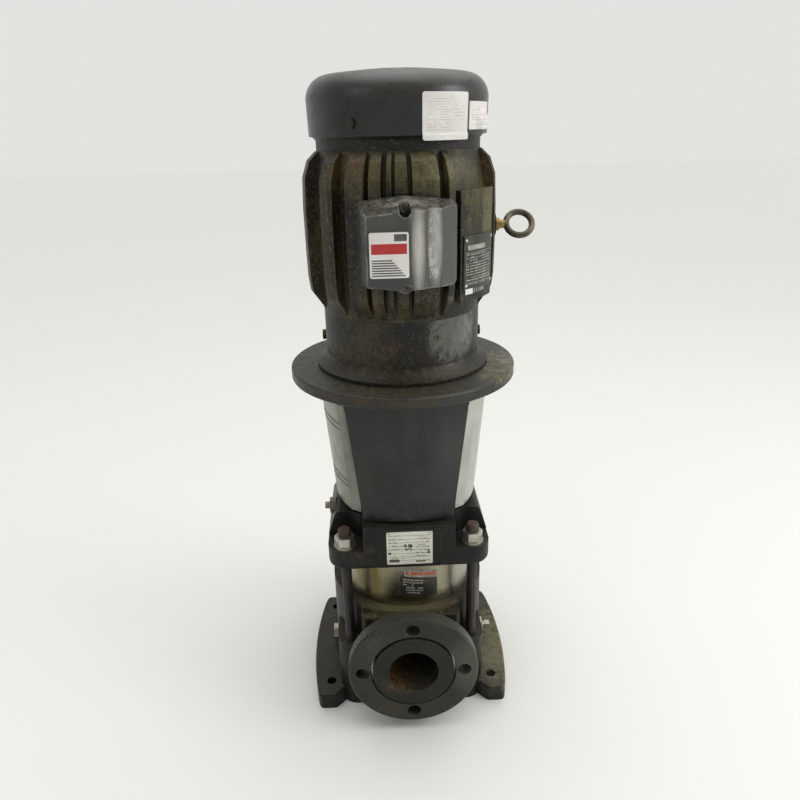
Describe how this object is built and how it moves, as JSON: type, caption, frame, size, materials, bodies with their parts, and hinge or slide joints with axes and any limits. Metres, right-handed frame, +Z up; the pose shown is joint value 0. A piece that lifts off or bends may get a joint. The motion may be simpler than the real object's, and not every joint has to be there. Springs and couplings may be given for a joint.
{
  "type": "vertical multistage pump",
  "caption": "Upright in-line water pump: flanged foot casting, short stainless pump stages, split-coupled motor stool and a finned fan-cooled motor above.",
  "frame": {"origin": "on the pump shaft axis at the underside of the feet, which is the centre of the foot bolt holes", "axes": "+Z up the shaft, -Y out of the suction port, +Y out of the discharge port, +X towards the lifting eye"},
  "size_m": [0.3223, 0.3415, 0.857],
  "materials": {
    "cast_black": "satin black paint over cast iron, dusty and worn at the edges",
    "base_iron": "dark coated cast iron with pale dirt",
    "flange_iron": "dark coated iron, rim worn lighter",
    "motor_paint": "dark paint with rust and yellow-green streaks",
    "cover_paint": "satin charcoal paint with brown dust",
    "box_paint": "glossy dark slate paint with worn pale edges",
    "stainless": "brushed stainless sheet with brown stains",
    "machined_steel": "machined steel",
    "zinc": "zinc plate, dulled",
    "rusty_steel": "steel with rust-brown film",
    "brass_finish": "dull yellow chromate",
    "plate_silver": "brushed metal plate, bare",
    "plate_dark": "dark printed plate, bare",
    "elastomer": "black rubber",
    "carbon": "carbon and bearing polymer",
    "winding": "varnished copper coil",
    "core_steel": "laminated steel",
    "fan_plastic": "moulded plastic"
  },
  "bodies": {
    "pump_and_motor": {"bearing_balls": "machined_steel", "bearing_bush": "carbon", "bearing_outer_races": "machined_steel", "conduit_box": "box_paint", "conduit_cover": "box_paint", "conduit_gasket": "elastomer", "conduit_screws": "rusty_steel", "drain_plug": "zinc", "drive_end_bell": "motor_paint", "eyebolt": "brass_finish", "fan_cover": "cover_paint", "fan_cover_screws": "rusty_steel", "fan_end_bell": "motor_paint", "first_chamber": "stainless", "gauge_plug": "zinc", "guard_left": "stainless", "guard_right": "stainless", "inlet_guide": "stainless", "lower_o_ring": "elastomer", "motor_bolts": "machined_steel", "motor_drain_plugs": "rusty_steel", "motor_frame": "motor_paint", "motor_nameplate": "plate_dark", "motor_stool": "cast_black", "neck_rings": "carbon", "outer_sleeve": "stainless", "outlet_guide": "stainless", "plate_rivets": "plate_silver", "pump_base": "base_iron", "pump_head": "cast_black", "pump_nameplate": "plate_silver", "retaining_rings": "machined_steel", "seal_carrier": "stainless", "seal_screws": "machined_steel", "seal_seat": "carbon", "second_chamber": "stainless", "stator_core": "core_steel", "stator_windings": "winding", "stay_bolts": "rusty_steel", "stay_nuts": "zinc", "stay_washers": "zinc", "stool_screws": "machined_steel", "upper_o_ring": "elastomer", "vent_plug": "zinc"},
    "shaft_line": {"pump_shaft": "machined_steel", "first_impeller": "stainless", "second_impeller": "stainless", "shaft_spacers": "machined_steel", "seal_rotor": "machined_steel", "coupling_front": "machined_steel", "coupling_rear": "machined_steel", "coupling_screws": "machined_steel", "coupling_pin": "machined_steel", "motor_shaft": "machined_steel", "motor_rotor": "core_steel", "bearing_inner_races": "machined_steel", "cooling_fan": "fan_plastic"},
    "suction_flange": {"suction_flange_ring": "flange_iron"},
    "discharge_flange": {"discharge_flange_ring": "flange_iron"}
  },
  "joints": [
    {"name": "shaft_spin", "type": "hinge", "parent": "pump_and_motor", "child": "shaft_line", "pos_m": [0, 0, 0.4], "axis": [0, 0, 1], "continuous": true},
    {"name": "suction_ring_swivel", "type": "hinge", "parent": "pump_and_motor", "child": "suction_flange", "pos_m": [0, -0.1485, 0.105], "axis": [0, 1, 0], "continuous": true},
    {"name": "discharge_ring_swivel", "type": "hinge", "parent": "pump_and_motor", "child": "discharge_flange", "pos_m": [0, 0.1485, 0.105], "axis": [0, 1, 0], "continuous": true}
  ]
}
